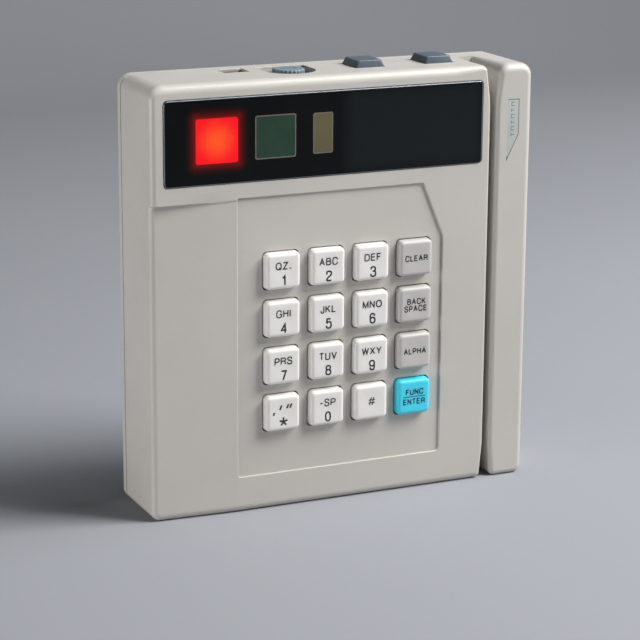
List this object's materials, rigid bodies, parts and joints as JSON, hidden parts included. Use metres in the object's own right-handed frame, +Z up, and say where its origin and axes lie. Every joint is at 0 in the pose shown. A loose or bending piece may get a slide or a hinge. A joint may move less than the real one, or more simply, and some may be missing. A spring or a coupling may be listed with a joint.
{
  "type": "card reader terminal",
  "caption": "Upright keypad terminal with a card swipe slot along its right side, a smoked window over lamps and a display, and controls and a phone socket on top.",
  "frame": {"origin": "centre of the bottom of the whole object's box, on the surface that it stands on", "axes": "+Z up along the height, -Y out of the keypad face towards the user, +X to the user's right, towards the card slot"},
  "size_m": [0.162, 0.0426, 0.1739],
  "materials": {
    "housing_plastic": "satin warm light grey moulded plastic, fine spark-eroded texture",
    "smoked_window": "glossy black smoked acrylic",
    "key_white": "satin off-white moulded key caps",
    "key_grey": "satin mid-grey moulded key caps",
    "key_blue": "satin cyan moulded key cap",
    "control_grey": "satin dark blue-grey moulded plastic",
    "red_lens": "translucent red, lit",
    "green_lens": "translucent dark green, unlit",
    "amber_lens": "translucent amber, unlit",
    "display_dark": "dark glass face of an unlit character display",
    "black_plastic": "black moulded plastic",
    "circuit_board": "green laminate",
    "dark_rubber": "dark grey rubber",
    "steel": "plated and polished steel"
  },
  "bodies": {
    "terminal": {"amber_lamp": "amber_lens", "amber_lens": "amber_lens", "backup_battery": "steel", "button_switch_left": "black_plastic", "button_switch_right": "black_plastic", "buzzer": "black_plastic", "card_rail": "housing_plastic", "cover_screw_lower_left": "steel", "cover_screw_lower_right": "steel", "cover_screw_upper_left": "steel", "cover_screw_upper_right": "steel", "dial_control": "black_plastic", "display_board": "circuit_board", "display_module": "display_dark", "display_window": "smoked_window", "front_housing": "housing_plastic", "green_lamp": "green_lens", "green_lens": "green_lens", "keypad_board": "circuit_board", "keypad_mat": "dark_rubber", "light_divider": "black_plastic", "main_board": "circuit_board", "modem_transformer": "black_plastic", "phone_jack": "black_plastic", "processor": "black_plastic", "rail_screw_lower": "steel", "rail_screw_upper": "steel", "rear_cover": "housing_plastic", "red_lamp": "red_lens", "red_lens": "red_lens", "ribbon_cable": "dark_rubber", "rubber_foot_lower_left": "dark_rubber", "rubber_foot_lower_right": "dark_rubber", "rubber_foot_upper_left": "dark_rubber", "rubber_foot_upper_right": "dark_rubber", "slot_floor_strip": "steel", "slot_spacer": "housing_plastic", "top_board": "circuit_board"},
    "key_1": {"key_1": "key_white"},
    "key_2": {"key_2": "key_white"},
    "key_3": {"key_3": "key_white"},
    "key_clear": {"key_clear": "key_grey"},
    "key_4": {"key_4": "key_white"},
    "key_5": {"key_5": "key_white"},
    "key_6": {"key_6": "key_white"},
    "key_back_space": {"key_back_space": "key_grey"},
    "key_7": {"key_7": "key_white"},
    "key_8": {"key_8": "key_white"},
    "key_9": {"key_9": "key_white"},
    "key_alpha": {"key_alpha": "key_grey"},
    "key_star": {"key_star": "key_white"},
    "key_0": {"key_0": "key_white"},
    "key_hash": {"key_hash": "key_white"},
    "key_enter": {"key_enter": "key_blue"},
    "top_button_left": {"top_button_left": "control_grey"},
    "top_button_right": {"top_button_right": "control_grey"},
    "volume_dial": {"volume_dial": "control_grey"},
    "read_head": {"read_head": "steel", "head_spring": "steel"}
  },
  "joints": [
    {"name": "key_1_press", "type": "slide", "parent": "terminal", "child": "key_1", "axis": [0, 1, 0], "range_m": [0, 0.0022], "stiffness_N_per_m": 300, "springref_m": -0.0015},
    {"name": "key_2_press", "type": "slide", "parent": "terminal", "child": "key_2", "axis": [0, 1, 0], "range_m": [0, 0.0022], "stiffness_N_per_m": 300, "springref_m": -0.0015},
    {"name": "key_3_press", "type": "slide", "parent": "terminal", "child": "key_3", "axis": [0, 1, 0], "range_m": [0, 0.0022], "stiffness_N_per_m": 300, "springref_m": -0.0015},
    {"name": "key_clear_press", "type": "slide", "parent": "terminal", "child": "key_clear", "axis": [0, 1, 0], "range_m": [0, 0.0022], "stiffness_N_per_m": 300, "springref_m": -0.0015},
    {"name": "key_4_press", "type": "slide", "parent": "terminal", "child": "key_4", "axis": [0, 1, 0], "range_m": [0, 0.0022], "stiffness_N_per_m": 300, "springref_m": -0.0015},
    {"name": "key_5_press", "type": "slide", "parent": "terminal", "child": "key_5", "axis": [0, 1, 0], "range_m": [0, 0.0022], "stiffness_N_per_m": 300, "springref_m": -0.0015},
    {"name": "key_6_press", "type": "slide", "parent": "terminal", "child": "key_6", "axis": [0, 1, 0], "range_m": [0, 0.0022], "stiffness_N_per_m": 300, "springref_m": -0.0015},
    {"name": "key_back_space_press", "type": "slide", "parent": "terminal", "child": "key_back_space", "axis": [0, 1, 0], "range_m": [0, 0.0022], "stiffness_N_per_m": 300, "springref_m": -0.0015},
    {"name": "key_7_press", "type": "slide", "parent": "terminal", "child": "key_7", "axis": [0, 1, 0], "range_m": [0, 0.0022], "stiffness_N_per_m": 300, "springref_m": -0.0015},
    {"name": "key_8_press", "type": "slide", "parent": "terminal", "child": "key_8", "axis": [0, 1, 0], "range_m": [0, 0.0022], "stiffness_N_per_m": 300, "springref_m": -0.0015},
    {"name": "key_9_press", "type": "slide", "parent": "terminal", "child": "key_9", "axis": [0, 1, 0], "range_m": [0, 0.0022], "stiffness_N_per_m": 300, "springref_m": -0.0015},
    {"name": "key_alpha_press", "type": "slide", "parent": "terminal", "child": "key_alpha", "axis": [0, 1, 0], "range_m": [0, 0.0022], "stiffness_N_per_m": 300, "springref_m": -0.0015},
    {"name": "key_star_press", "type": "slide", "parent": "terminal", "child": "key_star", "axis": [0, 1, 0], "range_m": [0, 0.0022], "stiffness_N_per_m": 300, "springref_m": -0.0015},
    {"name": "key_0_press", "type": "slide", "parent": "terminal", "child": "key_0", "axis": [0, 1, 0], "range_m": [0, 0.0022], "stiffness_N_per_m": 300, "springref_m": -0.0015},
    {"name": "key_hash_press", "type": "slide", "parent": "terminal", "child": "key_hash", "axis": [0, 1, 0], "range_m": [0, 0.0022], "stiffness_N_per_m": 300, "springref_m": -0.0015},
    {"name": "key_enter_press", "type": "slide", "parent": "terminal", "child": "key_enter", "axis": [0, 1, 0], "range_m": [0, 0.0022], "stiffness_N_per_m": 300, "springref_m": -0.0015},
    {"name": "top_button_left_press", "type": "slide", "parent": "terminal", "child": "top_button_left", "axis": [0, 0, -1], "range_m": [0, 0.0015], "stiffness_N_per_m": 400, "springref_m": -0.001},
    {"name": "top_button_right_press", "type": "slide", "parent": "terminal", "child": "top_button_right", "axis": [0, 0, -1], "range_m": [0, 0.0015], "stiffness_N_per_m": 400, "springref_m": -0.001},
    {"name": "volume_dial_turn", "type": "hinge", "parent": "terminal", "child": "volume_dial", "pos_m": [-0.0155, 0.0034, 0.1712], "axis": [0, 0, 1], "range_deg": [-135, 135]},
    {"name": "read_head_float", "type": "slide", "parent": "terminal", "child": "read_head", "axis": [-1, 0, 0], "range_m": [0, 0.0008], "stiffness_N_per_m": 600, "springref_m": -0.0008}
  ]
}
